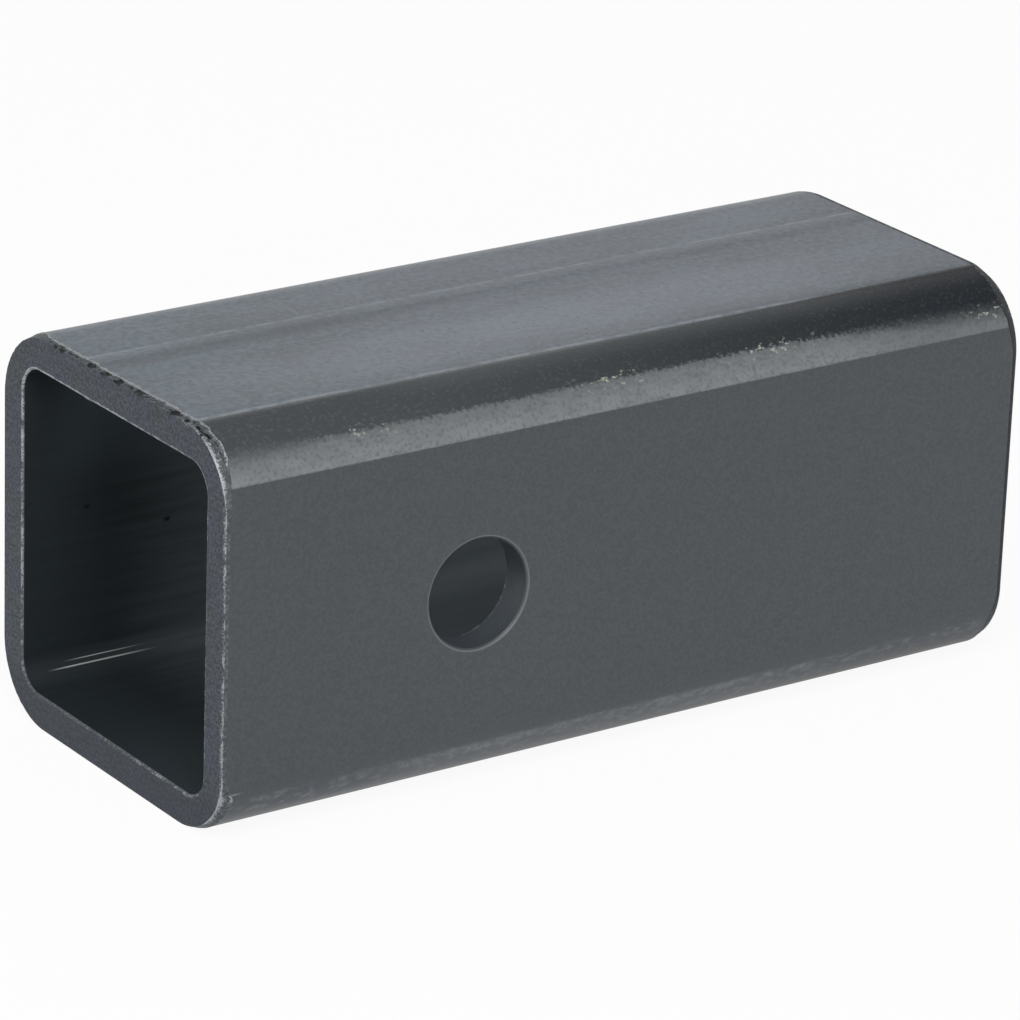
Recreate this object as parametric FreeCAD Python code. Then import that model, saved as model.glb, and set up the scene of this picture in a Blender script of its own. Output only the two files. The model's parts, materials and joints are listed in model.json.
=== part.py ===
"""Hitch reducer sleeve: one sawn length of welded square steel tube, drilled across for the hitch pin.

It slides into a larger hitch receiver and makes the receiver fit a smaller shank. One pin goes through
the receiver, the sleeve and the shank together.

Millimetres. X runs along the tube, Y along the pin hole and Z up. The origin is where the pin hole's
axis crosses the tube's axis, and the sleeve lies on its -Z flat.
"""
import FreeCAD
import Part
import math
import os

# Tube section
OUTER_WIDTH = 63.5          # 2-1/2 in over the flats, to suit the receiver
WALL = 5.556                # 7/32 in, which leaves 2-1/16 in clear for a 2 in shank
OUTER_CORNER_RADIUS = 11.1
INNER_CORNER_RADIUS = 4.5

# Length and pin hole
LENGTH = 146.05             # 5-3/4 in
PIN_HOLE_DIAMETER = 17.46   # 11/16 in, for a 5/8 in pin
PIN_HOLE_FROM_END = 44.45   # 1-3/4 in from the -X end to the hole's axis

# Weld seam of the tube, in its +Z wall
SEAM_FROM_CENTRE = 7.4      # towards +Y
SCARF_WIDTH = 5.0           # the weld's outside, planed down to a low crown
SCARF_HEIGHT = 0.1
FLASH_WIDTH = 3.0           # the weld's inside, rolled almost flush so that the shank slides past it
FLASH_HEIGHT = 0.15

# Sawn ends: the outside is linished, and the belt takes more off the corners than off the flats
LINISH_ANGLE = 20.0         # degrees from the tube's axis
LINISH_ON_FLATS = 0.15      # depth at the sawn face
LINISH_CORNER_EXTRA = 0.9   # how much larger the corner radius is at the sawn face

# Deburred edges: the bore's mouth at both ends, and the outer rim of the pin hole on both sides
DEBURR_ANGLE = 45.0         # degrees from the axis of the opening
BORE_EDGE_BREAK = 0.3       # depth along that axis
PIN_HOLE_EDGE_BREAK = 0.35

# Cutters run this far past the surfaces that they cut
CUT_PAST = 1.0

# Places that follow from the sizes above
X_NEAR = -PIN_HOLE_FROM_END
X_FAR = LENGTH - PIN_HOLE_FROM_END
OUTER_HALF = OUTER_WIDTH / 2
INNER_HALF = OUTER_HALF - WALL


def widening(depth, angle):
    """How far a taper at this angle from its axis widens over a depth along it."""
    return abs(depth) * math.tan(math.radians(angle))


def outline(x, half, radius, crown_width=0.0, crown_height=0.0):
    """Rounded square in the plane at x. A crown, if it has a width, stands on the +Z side at the seam."""
    def at(y, z):
        return FreeCAD.Vector(x, y, z)

    flat = half - radius
    diagonal = flat + radius * math.sqrt(0.5)
    crown_start = SEAM_FROM_CENTRE + crown_width / 2
    crown_end = SEAM_FROM_CENTRE - crown_width / 2
    if crown_width:
        top = [
            Part.LineSegment(at(flat, half), at(crown_start, half)),
            Part.Arc(at(crown_start, half), at(SEAM_FROM_CENTRE, half + crown_height), at(crown_end, half)),
            Part.LineSegment(at(crown_end, half), at(-flat, half)),
        ]
    else:
        top = [Part.LineSegment(at(flat, half), at(-flat, half))]
    rest = [
        Part.Arc(at(-flat, half), at(-diagonal, diagonal), at(-half, flat)),
        Part.LineSegment(at(-half, flat), at(-half, -flat)),
        Part.Arc(at(-half, -flat), at(-diagonal, -diagonal), at(-flat, -half)),
        Part.LineSegment(at(-flat, -half), at(flat, -half)),
        Part.Arc(at(flat, -half), at(diagonal, -diagonal), at(half, -flat)),
        Part.LineSegment(at(half, -flat), at(half, flat)),
        Part.Arc(at(half, flat), at(diagonal, diagonal), at(flat, half)),
    ]
    return Part.Wire([edge.toShape() for edge in top + rest])


def prism(wire, length):
    """Solid of a closed outline carried along +X."""
    return Part.Face(wire).extrude(FreeCAD.Vector(length, 0, 0))


def taper(x, depth, half, radius, angle):
    """Solid whose rounded square section grows by the angle all round from x to x + depth."""
    growth = widening(depth, angle)
    start = outline(x, half, radius)
    end = outline(x + depth, half + growth, radius + growth)
    return Part.makeLoft([start, end], True, True)


def welded_tube():
    """Square tube with its weld seam: a planed crown outside and a low bead inside."""
    outside = outline(X_NEAR, OUTER_HALF, OUTER_CORNER_RADIUS, SCARF_WIDTH, SCARF_HEIGHT)
    inside = outline(X_NEAR, INNER_HALF, INNER_CORNER_RADIUS, FLASH_WIDTH, -FLASH_HEIGHT)
    return prism(outside, LENGTH).cut(prism(inside, LENGTH))


def linished_edge(x, inward):
    """What the belt takes off the outside of the sawn end at x. Inward is +1 or -1 along X."""
    on_corners = LINISH_ON_FLATS * math.sqrt(2) + LINISH_CORNER_EXTRA * (math.sqrt(2) - 1)
    on_seam = LINISH_ON_FLATS + SCARF_HEIGHT
    reach = max(on_corners, on_seam) / math.tan(math.radians(LINISH_ANGLE)) + CUT_PAST
    side = OUTER_WIDTH + 2 * (SCARF_HEIGHT + CUT_PAST)
    low_corner = FreeCAD.Vector(min(x, x + inward * reach), -side / 2, -side / 2)
    block = Part.makeBox(reach, side, side, low_corner)
    half = OUTER_HALF - LINISH_ON_FLATS
    radius = OUTER_CORNER_RADIUS + LINISH_CORNER_EXTRA
    return block.cut(taper(x, inward * reach, half, radius, LINISH_ANGLE))


def bore_edge(x, inward):
    """What the deburring tool takes off the inside edge of the sawn end at x."""
    deepest = x + inward * BORE_EDGE_BREAK
    outward_depth = -inward * (BORE_EDGE_BREAK + CUT_PAST)
    return taper(deepest, outward_depth, INNER_HALF, INNER_CORNER_RADIUS, DEBURR_ANGLE)


def pin_hole():
    """Drill through both side walls, with a deburring cone at the outer rim of each."""
    radius = PIN_HOLE_DIAMETER / 2
    along = FreeCAD.Vector(0, 1, 0)
    past = OUTER_HALF + CUT_PAST
    drill = Part.makeCylinder(radius, 2 * past, FreeCAD.Vector(0, -past, 0), along)
    for side in (-1, 1):
        seat = FreeCAD.Vector(0, side * (OUTER_HALF - PIN_HOLE_EDGE_BREAK), 0)
        depth = PIN_HOLE_EDGE_BREAK + CUT_PAST
        mouth = radius + widening(depth, DEBURR_ANGLE)
        drill = drill.fuse(Part.makeCone(radius, mouth, depth, seat, along * side))
    return drill


def reducer_sleeve():
    """The whole sleeve: tube, dressed ends and pin hole."""
    sleeve = welded_tube()
    for x, inward in ((X_NEAR, 1), (X_FAR, -1)):
        sleeve = sleeve.cut(linished_edge(x, inward))
        sleeve = sleeve.cut(bore_edge(x, inward))
    return sleeve.cut(pin_hole()).removeSplitter().Solids[0]


def main():
    os.makedirs("parts", exist_ok=True)
    sleeve = reducer_sleeve()
    sleeve.exportStep("parts/reducer_sleeve.step")
    box = sleeve.optimalBoundingBox()
    print("valid", sleeve.isValid(), "faces", len(sleeve.Faces), "volume mm3", round(sleeve.Volume, 1))
    print("size mm", round(box.XLength, 3), round(box.YLength, 3), round(box.ZLength, 3))


main()
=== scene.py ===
# %% [markdown]
# A hitch reducer sleeve: a short length of welded square steel tube, with a pin hole drilled across it.
# It is one plain piece, so its looks are in the small things: the rolled corners, the planed weld
# seam, the sawn ends with their ground edges, and a dark satin coating that has worn off those edges.
# The CAD model is a fixed frame, and everything here is built around that.

# %% Load the frame
import json
import math

import bmesh
import bpy
import numpy as np
from mathutils import Matrix, Vector, noise


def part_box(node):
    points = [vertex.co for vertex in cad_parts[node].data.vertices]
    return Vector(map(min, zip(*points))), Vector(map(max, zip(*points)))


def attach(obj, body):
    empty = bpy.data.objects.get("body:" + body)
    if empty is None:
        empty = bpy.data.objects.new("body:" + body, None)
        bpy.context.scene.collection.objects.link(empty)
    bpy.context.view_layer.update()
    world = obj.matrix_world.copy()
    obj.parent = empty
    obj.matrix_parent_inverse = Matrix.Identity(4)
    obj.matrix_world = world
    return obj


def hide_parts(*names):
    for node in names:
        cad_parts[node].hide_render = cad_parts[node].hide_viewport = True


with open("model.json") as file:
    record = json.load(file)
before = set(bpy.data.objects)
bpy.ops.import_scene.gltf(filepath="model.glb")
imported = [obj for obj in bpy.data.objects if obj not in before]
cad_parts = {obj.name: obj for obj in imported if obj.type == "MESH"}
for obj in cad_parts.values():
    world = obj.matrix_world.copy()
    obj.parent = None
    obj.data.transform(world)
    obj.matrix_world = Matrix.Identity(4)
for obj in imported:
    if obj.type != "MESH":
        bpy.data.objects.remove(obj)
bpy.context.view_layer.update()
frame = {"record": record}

# %% [markdown]
# Sizes first. The ends, the width and the pin hole are read from the frame, so the dressed sleeve can't
# drift from the CAD. The wall, the corner radii and the edge breaks aren't in the record, so they are
# written here once. A maker thinks of such a part in millimetres, and so does this script: lengths turn
# into metres only when a mesh or a lamp is made.

# %% Sizes in millimetres
MM = 0.001
node_low, node_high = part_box("reducer_sleeve")
NEAR_END = node_low.x / MM
FAR_END = node_high.x / MM
HALF_WIDTH = node_high.y / MM
pin_hole = next(mount for mount in frame["record"]["mounts"] if mount["name"] == "pin_hole")
HOLE_RADIUS = pin_hole["dims"]["r_mm"]
WALL = 5.556
BORE_HALF = HALF_WIDTH - WALL
CORNER_RADIUS = 11.1
BORE_CORNER_RADIUS = 4.5
CORNER_CENTRE = HALF_WIDTH - CORNER_RADIUS
print("ends", NEAR_END, FAR_END, "half width", HALF_WIDTH, "bore half", BORE_HALF, "hole", HOLE_RADIUS)

# %% [markdown]
# The section of the tube is a square with round corners. One side and one corner are laid out as points,
# and quarter turns give the rest. The points on a flat are even in its middle, over a square around the
# pin hole, so that the hole can be let into that grid later. On the side that faces up, the weld seam
# stands out as a low crown, and the same seam makes a low bead inside the bore.

# %% Points round the section
HOLE_PATCH = 14.0
PATCH_STEPS = 28
MARGIN_STEPS = 7
CORNER_STEPS = 36
SIDE_STEPS = PATCH_STEPS + 2 * MARGIN_STEPS + CORNER_STEPS
SEAM_Y = 7.4
UP_SIDE = 1


def seam_crown(y, width, height):
    """Height of a low round crown of that width, over the seam."""
    return height * np.clip(1 - (2 * (y - SEAM_Y) / width) ** 2, 0, None)


def section_ring(half, radius, fine=1, crown=(1.0, 0.0)):
    """Points (y, z) and outward directions round the section, from the foot of the -Y side upwards."""
    flat = half - radius
    along = np.concatenate([
        np.linspace(-flat, -HOLE_PATCH, MARGIN_STEPS * fine, endpoint=False),
        np.linspace(-HOLE_PATCH, HOLE_PATCH, PATCH_STEPS * fine, endpoint=False),
        np.linspace(HOLE_PATCH, flat, MARGIN_STEPS * fine, endpoint=False),
    ])
    turn = np.linspace(0, math.pi / 2, CORNER_STEPS * fine, endpoint=False)
    facing = np.vstack([
        np.tile([-1.0, 0.0], (len(along), 1)),
        np.column_stack([-np.cos(turn), np.sin(turn)]),
    ])
    centre = np.concatenate([along, np.full(len(turn), flat)])
    side = np.column_stack([np.full(len(centre), -flat), centre]) + radius * facing
    ring, directions = [], []
    for quarter in range(4):
        c, s = math.cos(quarter * math.pi / 2), math.sin(quarter * math.pi / 2)
        quarter_turn = np.array([[c, -s], [s, c]])
        turned = side @ quarter_turn
        if quarter == UP_SIDE:
            turned[:len(along), 1] += seam_crown(turned[:len(along), 0], *crown)
        ring.append(turned)
        directions.append(facing @ quarter_turn)
    return np.vstack(ring), np.vstack(directions)


outer_ring, _ = section_ring(HALF_WIDTH, CORNER_RADIUS)
print("points round the section", len(outer_ring), "highest", round(outer_ring[:, 1].max(), 3))

# %% [markdown]
# The mesh is kept as plain lists while it grows: points, faces, the finish of each face, and for each
# point how much of its coating has worn to bare metal and how deep it lies in a pit, groove or crack,
# which sets how much painted shade it gets. A row is one trip round the section, and a band of faces
# joins two rows. A boolean cut would be shorter to write, but it leaves long thin triangles, and rows
# keep the faces square and the edges where the finish needs them.

# %% Rows and bands
COATED, DRESSED, SAWN, BORE, DRILLED = range(5)
points, bare_metal, torn_pit, faces, face_finish = [], [], [], [], []


def add_row(xyz, bare=0.0, pit=0.0):
    """Adds a closed row of points and returns their numbers."""
    first = len(points)
    points.extend(map(tuple, xyz))
    bare_metal.extend(np.broadcast_to(bare, len(xyz)))
    torn_pit.extend(np.broadcast_to(pit, len(xyz)))
    return list(range(first, first + len(xyz)))


def band(row_a, row_b, finish, leave_out=()):
    """Four-sided faces between two rows with as many points."""
    count = len(row_a)
    for i in range(count):
        if i not in leave_out:
            j = (i + 1) % count
            faces.append((row_a[i], row_b[i], row_b[j], row_a[j]))
            face_finish.append(finish)


def step_to_fine(coarse, fine, finish):
    """Faces between a row and one with twice as many points."""
    for i in range(len(coarse)):
        j = (i + 1) % len(coarse)
        faces.append((coarse[i], fine[2 * i], fine[2 * i + 1], fine[2 * j], coarse[j]))
        face_finish.append(finish)


print("finishes, numbered from", COATED, "to", DRILLED)

# %% [markdown]
# Between the ends, the outside and the bore are straight, so their rows only need to be close together
# at the pin hole. The faces in the hole's square patch are left out for now.

# %% The straight walls
END_ZONE = 3.0
ROW_SPACING = 2.2
# Width and height, and the bead stands into the bore
SCARF_CROWN = (5.0, 0.1)
FLASH_BEAD = (3.0, -0.15)
HOLE_SIDES = (0, 2)


def stations():
    """Places of the rows along the tube, between the end zones, and the number of the first patch row."""
    near, far = NEAR_END + END_ZONE, FAR_END - END_ZONE
    before = math.ceil((-HOLE_PATCH - near) / ROW_SPACING)
    after = math.ceil((far - HOLE_PATCH) / ROW_SPACING)
    places = np.concatenate([
        np.linspace(near, -HOLE_PATCH, before, endpoint=False),
        np.linspace(-HOLE_PATCH, HOLE_PATCH, PATCH_STEPS, endpoint=False),
        np.linspace(HOLE_PATCH, far, after + 1),
    ])
    return places, before


def straight_wall(half, radius, crown, finish):
    """Rows of one straight wall, with the hole patches left open."""
    ring, _ = section_ring(half, radius, crown=crown)
    places, first_patch_row = stations()
    rows = [add_row(np.column_stack([np.full(len(ring), x), ring])) for x in places]
    patch = set()
    for side in HOLE_SIDES:
        start = side * SIDE_STEPS + MARGIN_STEPS
        patch.update(range(start, start + PATCH_STEPS))
    for number, (row_a, row_b) in enumerate(zip(rows, rows[1:])):
        in_patch = first_patch_row <= number < first_patch_row + PATCH_STEPS
        band(row_a, row_b, finish, patch if in_patch else ())
    return rows, first_patch_row


outside, patch_row = straight_wall(HALF_WIDTH, CORNER_RADIUS, SCARF_CROWN, COATED)
bore, _ = straight_wall(BORE_HALF, BORE_CORNER_RADIUS, FLASH_BEAD, BORE)
print("rows outside", len(outside), "faces so far", len(faces))

# %% [markdown]
# The pin hole is drilled through both side walls. To let a round hole into a square grid, each point on
# the border of the square patch gets a partner on the circle, at its own angle. The rows between the two
# then turn from square to round by themselves.

# %% Borders of the pin hole
HOLE_ANGLES = np.linspace(0, 2 * math.pi, 4 * PATCH_STEPS, endpoint=False) - 0.75 * math.pi


def patch_border(rows, side):
    """The points round a square patch, in order."""
    low = side * SIDE_STEPS + MARGIN_STEPS
    high = low + PATCH_STEPS
    first, last = patch_row, patch_row + PATCH_STEPS
    foot = [rows[r][low] for r in range(first, last)]
    far = [rows[last][i] for i in range(low, high)]
    head = [rows[r][high] for r in range(last, first, -1)]
    near = [rows[first][i] for i in range(high, low, -1)]
    return foot + far + head + near


def circle(side, radius, depth):
    """A circle in a side wall, with a point for each point of the patch's border."""
    out = -1 if side == 0 else 1
    y = np.full(len(HOLE_ANGLES), out * depth)
    return np.column_stack([radius * np.cos(HOLE_ANGLES), y, -out * radius * np.sin(HOLE_ANGLES)])


print("points round a hole", len(HOLE_ANGLES))

# %% [markdown]
# Each hole is one run of rows: from the square patch in the outside in to the deburred rim, down the
# drilled wall, and out again to the square patch in the bore. The drill has left a small worn lip where
# it came out inside.

# %% The pin hole
RIM_BREAK = 0.35
INNER_RIM_BREAK = 0.15
LIP_ROW = 0.4
LIP_BARE, EXIT_BARE = 0.4, 0.5
PATCH_RINGS = (0.62, 0.36, 0.18, 0.07)
WALL_ROWS = 7


def spread(border, rim, shares):
    """Rows between a round rim and the patch's square border."""
    square = np.array([points[i] for i in border])
    return [add_row(rim * (1 - share) + square * share) for share in shares]


def drill(side):
    """One hole through one side wall: a run of rows, each with the finish of the band before it."""
    outer_border, inner_border = patch_border(outside, side), patch_border(bore, side)
    mouth = circle(side, HOLE_RADIUS + RIM_BREAK, HALF_WIDTH)
    half_way = circle(side, HOLE_RADIUS + RIM_BREAK / 2, HALF_WIDTH - RIM_BREAK / 2)
    exit_rim = circle(side, HOLE_RADIUS + INNER_RIM_BREAK, BORE_HALF)
    lip = circle(side, HOLE_RADIUS, BORE_HALF + INNER_RIM_BREAK)
    depths = np.linspace(HALF_WIDTH - RIM_BREAK, BORE_HALF + INNER_RIM_BREAK + LIP_ROW, WALL_ROWS)
    wall = [add_row(circle(side, HOLE_RADIUS, depth)) for depth in depths]
    run = [(outer_border, COATED)]
    run += [(row, COATED) for row in spread(outer_border, mouth, PATCH_RINGS)]
    run += [(add_row(mouth), COATED), (add_row(half_way), DRILLED)]
    run += [(row, DRILLED) for row in wall]
    run += [(add_row(lip, LIP_BARE), DRILLED), (add_row(exit_rim, EXIT_BARE), DRILLED)]
    run += [(row, BORE) for row in spread(inner_border, exit_rim, PATCH_RINGS[::-1])]
    run.append((inner_border, BORE))
    for (row_a, _), (row_b, finish) in zip(run, run[1:]):
        band(row_a, row_b, finish)


for hole_side in HOLE_SIDES:
    drill(hole_side)
print("faces with the pin hole", len(faces))

# %% [markdown]
# The ends are sawn off square and dressed by hand on a belt. Hand work wanders, and that is most of the
# charm of these edges, so smooth noise moves the bevel's border, roughens its face and raises small
# burrs. Along the near upper edge the metal is also torn out in small pits, which lie where the
# photograph has them: each has its place along Y, its length and its strength.

# %% Marks of hand work
NEAR_UPPER_PITS = (
    (15.8, 4.7, 1.1), (11.7, 1.5, 0.8), (6.9, 2.2, 0.9), (2.7, 3.9, 1.0), (-1.0, 2.5, 1.3),
    (-6.0, 6.7, 0.8), (-12.3, 1.9, 0.7), (-16.8, 2.8, 1.3), (-21.2, 1.6, 1.0), (-25.0, 1.6, 0.9),
)
PIT_TOP, PIT_FALL = 1.5, 2.4
LUMP_SHIFT = (13.7, 5.3, 9.1)


def lumps(xyz, size, seed):
    """Smooth noise from about -1 to 1 at each point, with lumps of that size."""
    shift = Vector([c * seed for c in LUMP_SHIFT])
    return np.array([noise.noise(Vector(p) / size + shift) for p in xyz])


def torn_pits(ring, spots):
    """How deep each point of the upper edge lies in a pit."""
    depth = np.zeros(len(ring))
    for y, long, strength in spots:
        away = np.abs(ring[:, 0] - y) / long
        depth = np.maximum(depth, strength * np.clip(PIT_TOP - PIT_FALL * away, 0, 1))
    return depth * (ring[:, 1] > CORNER_CENTRE)


print("pits along the near upper edge", len(NEAR_UPPER_PITS))

# %% [markdown]
# Each end is again one run of rows: along the outside, over the bevel, across the sawn face, over the
# bore's broken edge and into the bore. The bevel is narrow on the flats and wider round the corners. The
# steps place the rows, from 0 to 1 across each part. Under them stands what the belt has left there: a
# bright line along the bevel's outer border, one from the bevel onto the sawn face and one at the bore's
# mouth, the pits, and a thin crack that joins them.

# %% Steps over an end
FINE = 2
LINISH_ANGLE = math.radians(20)
LINISH_ON_FLATS = 0.15
LINISH_CORNER_EXTRA = 0.9
BORE_EDGE_BREAK = 0.3
SKIN_STEPS = (0.0, 0.4, 0.7, 0.85)
SKIN_LINE = (0.0, 0.0, 0.0, 0.4)
GROOVE_STEP = 0.3
BEVEL_STEPS = (0.0, 0.12, GROOVE_STEP, 0.5, 0.7, 0.88, 1.0)
OUTER_LINE = (1.0, 0.78, 0.3, 0.0, 0.0, 0.0, 0.0)
INNER_LINE = (0.0, 0.0, 0.05, 0.22, 0.36, 0.6, 0.9)
PIT_DEPTH = (0.0, 0.1, 0.8, 1.0, 1.0, 1.0, 0.9)
CRACK_DEPTH = (0.0, 0.0, 0.2, 0.5, 0.6, 0.3, 0.0)
FACE_STEPS = (0.03, 0.07, 0.12, 0.2, 0.45, 0.75, 0.94, 0.97)
FACE_LINE = (0.8, 0.7, 0.5, 0.15, 0.0, 0.0, 0.0, 0.0)
MOUTH_LINE = (0.0, 0.0, 0.0, 0.0, 0.0, 0.0, 0.0, 0.7)
MOUTH_EDGE = ((0.0, 1.0, SAWN), (0.5, 0.8, DRESSED), (1.0, 0.3, DRESSED))
BORE_STEPS = (0.1, 0.4, 1.0)
print("rows over an end", len(SKIN_STEPS + BEVEL_STEPS + FACE_STEPS + MOUTH_EDGE + BORE_STEPS))

# %% [markdown]
# The lines aren't alike all round, and the bevel isn't either: it is broad along the upper edge and all
# but gone along the near side. A table says that more directly than any formula. It counts in quarters
# from the foot of the near side: 0 to 1 is the near side and its upper corner, 1 to 2 the upper flat and
# its far corner, and so on. At the foot of the near side the belt has slipped and left a nick.

# %% The way round an end
# Quarters, outer line, inner line, stretch of the bevel, line at the bore's mouth
WAY_ROUND = np.array((
    (0.00, 0.00, 0.6, 0.5, 0.30),
    (0.45, 0.00, 0.6, 0.5, 0.35),
    (0.54, 0.00, 0.7, 0.5, 0.40),
    (0.70, 0.00, 1.0, 0.8, 0.45),
    (0.75, 0.75, 1.0, 1.0, 0.50),
    (0.90, 0.80, 0.9, 1.4, 0.55),
    (0.95, 0.80, 0.8, 2.0, 0.60),
    (1.00, 0.85, 0.5, 3.8, 0.60),
    (1.05, 0.85, 0.0, 3.7, 0.60),
    (1.30, 0.85, 0.0, 3.2, 0.65),
    (1.54, 0.90, 0.0, 2.9, 0.80),
    (1.65, 0.70, 0.0, 2.0, 0.75),
    (1.80, 0.10, 0.0, 1.0, 0.70),
    (2.00, 0.00, 0.0, 1.0, 0.60),
    (2.27, 0.00, 0.0, 1.0, 0.48),
    (2.54, 0.00, 0.0, 1.0, 0.25),
    (3.00, 0.00, 0.0, 1.0, 0.15),
    (3.25, 0.00, 0.0, 1.0, 0.25),
    (3.54, 0.00, 0.0, 1.0, 0.40),
    (3.65, 0.00, 0.2, 1.0, 0.40),
    (3.75, 0.20, 1.0, 1.0, 0.40),
    (3.86, 0.10, 1.0, 1.0, 0.35),
    (3.89, 0.95, 1.0, 1.0, 0.35),
    (3.92, 0.95, 1.0, 1.0, 0.35),
    (3.95, 0.10, 1.0, 0.8, 0.30),
    (4.00, 0.00, 0.6, 0.5, 0.30),
))
CRACK_ENDS = (-26.0, 20.0)
NICK_PLACE = (-31.1, -24.4)
NICK_SIZE = 1.4


def way_round(ring):
    """The table's columns, read off at each point of a ring."""
    quarters = np.arange(len(ring)) * 4 / len(ring)
    return [np.interp(quarters, WAY_ROUND[:, 0], column) for column in WAY_ROUND[:, 1:].T]


def on_crack(ring):
    """Which points of the upper edge the crack runs through."""
    y, z = ring.T
    return (CRACK_ENDS[0] < y) & (y < CRACK_ENDS[1]) & (z > CORNER_CENTRE)


def nick_near(ring):
    """How much of the nick each point takes."""
    return np.exp(-((ring - NICK_PLACE) ** 2).sum(axis=1) / NICK_SIZE ** 2)


print("places on the way round", len(WAY_ROUND))

# %% [markdown]
# Now one end, as a run of rows. The depth that the belt takes off at each point gives how far the bevel
# reaches along the tube, and the noise from above lets that wander. How hard the end was worked scales
# all its marks. A pit sinks into the bevel and bites a little into the sawn face, and on the upper corner
# a groove runs just inside the outer bright line. Pits, groove and crack are sunk into the mesh, and a
# painted shade makes them dark.

# %% One dressed end
# Height or share of each kind of noise, and the size of its lumps
SLOW_WANDER, QUICK_WANDER = (0.14, 6.0), (0.14, 1.3)
BELT_GRAIN, BURR, MOUTH_WAVE = (0.06, 0.6), (0.05, 0.9), (0.07, 1.6)
BURR_LIFT = 0.4
BURRS_FROM_MIDDLE = 0.35
NICK_REACH = 0.9
PIT_SINK, PIT_BITE = 0.12, 0.15
PIT_ON_FACE, PIT_FADE = 0.9, 0.2


def wave(xyz, height, size, seed):
    """Smooth noise of that height."""
    return height * lumps(xyz, size, seed)


def dressed_end(end, inward, seed, work, spots):
    """Rows from the outside, over the bevel and the sawn face, into the bore."""
    skin, facing = section_ring(HALF_WIDTH, CORNER_RADIUS, FINE, SCARF_CROWN)
    plain, _ = section_ring(HALF_WIDTH, CORNER_RADIUS, FINE)
    rim, _ = section_ring(HALF_WIDTH - LINISH_ON_FLATS, CORNER_RADIUS + LINISH_CORNER_EXTRA, FINE)
    mouth, _ = section_ring(BORE_HALF + BORE_EDGE_BREAK, BORE_CORNER_RADIUS + BORE_EDGE_BREAK, FINE)
    inner, _ = section_ring(BORE_HALF, BORE_CORNER_RADIUS, FINE, FLASH_BEAD)
    at_end = np.column_stack([np.full(len(skin), end), skin])
    mouth = mouth + facing * wave(at_end, *MOUTH_WAVE, seed + 4)[:, None]
    outer_shine, inner_shine, stretch, mouth_shine = way_round(skin)
    stretch = 1 + (stretch - 1) * work ** 2
    depth = ((plain - rim) * facing).sum(axis=1)
    on_corner = (depth - depth.min()) / (depth.max() - depth.min())
    wander = wave(at_end, *SLOW_WANDER, seed) + wave(at_end, *QUICK_WANDER, seed + 1)
    reach = depth / math.tan(LINISH_ANGLE) * stretch * (1 + wander)
    reach = reach + NICK_REACH * work * nick_near(skin)
    pits = torn_pits(skin, spots)
    cracked = on_crack(skin) * bool(spots)
    narrower = 1 + 2 * on_corner
    rows, finishes = [], []

    def row(offset, yz, finish, bare=0.0, pit=0.0):
        x = end + inward * np.broadcast_to(offset, len(yz))
        rows.append(add_row(np.column_stack([x, yz]), bare, pit))
        finishes.append(finish)

    for step, outer in zip(SKIN_STEPS, SKIN_LINE):
        row(END_ZONE + (reach - END_ZONE) * step, skin, COATED, work * outer_shine * outer ** narrower)
    bevel = zip(BEVEL_STEPS, OUTER_LINE, INNER_LINE, PIT_DEPTH, CRACK_DEPTH)
    for step, outer, inside, deep, crack in bevel:
        ground = skin * (1 - step) + rim * step
        place = np.column_stack([end + inward * reach * (1 - step), ground])
        relief = wave(place, *BELT_GRAIN, seed + 2)
        if abs(step - 0.5) > BURRS_FROM_MIDDLE:
            relief = relief + BURR[0] * BURR_LIFT + wave(place, *BURR, seed + 3)
        # The groove is sunk into the mesh, and its darkness is a painted shade carried with the pit marks
        groove = work * on_corner * outer_shine * (step == GROOVE_STEP)
        pit = np.max([pits * deep, groove, crack * cracked], axis=0)
        ground = ground + facing * (work * on_corner * relief - PIT_SINK * pit)[:, None]
        bare = work * (outer ** narrower * outer_shine + inside * inner_shine)
        row(reach * (1 - step) + PIT_BITE * pits * step, ground, DRESSED, bare, pit)
    for step, inside, lip in zip(FACE_STEPS, FACE_LINE, MOUTH_LINE):
        pit = pits * max(0, PIT_ON_FACE - step / PIT_FADE)
        bare = work * inside * (1 - on_corner) * inner_shine + lip * mouth_shine
        row(PIT_BITE * pit, rim * (1 - step) + mouth * step, SAWN, bare, pit)
    for step, lip, finish in MOUTH_EDGE:
        row(BORE_EDGE_BREAK * step, mouth * (1 - step) + inner * step, finish, lip * mouth_shine)
    for step in BORE_STEPS:
        row(BORE_EDGE_BREAK + (END_ZONE - BORE_EDGE_BREAK) * step, inner, BORE)
    for row_a, row_b, finish in zip(rows, rows[1:], finishes[1:]):
        band(row_a, row_b, finish)
    return rows[0], rows[-1]


print("bevel on the flats", round(LINISH_ON_FLATS / math.tan(LINISH_ANGLE), 2), "mm")

# %% [markdown]
# The near end was worked hard and the far end only lightly, and only the near one is torn. The ends have
# twice as many points round them as the straight walls, for the fine marks, and a band of five-sided
# faces joins the two.

# %% Both ends
NEAR_SEED, FAR_SEED = 1, 7
FAR_WORK = 0.35
near_skin, near_bore = dressed_end(NEAR_END, 1, NEAR_SEED, 1.0, NEAR_UPPER_PITS)
far_skin, far_bore = dressed_end(FAR_END, -1, FAR_SEED, FAR_WORK, ())
step_to_fine(outside[0], near_skin, COATED)
step_to_fine(outside[-1], far_skin, COATED)
step_to_fine(bore[0], near_bore, BORE)
step_to_fine(bore[-1], far_bore, BORE)
print("points", len(points), "faces", len(faces))

# %% [markdown]
# Rolls never fill a corner quite alike all along a tube. Towards the far end this one's near upper corner
# turns off the flat a little early, so the film mirrors the dim ceiling sooner and the border between
# flat and corner darkens. It could be painted on, but a push of about a quarter of a millimetre does
# it as the real steel does. All points are in their list by now, so one rule reaches every row.

# %% The slack corner
SLACK = 0.27
SLACK_ALONG = ((18.0, 95.0), (0.0, 1.0))
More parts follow.
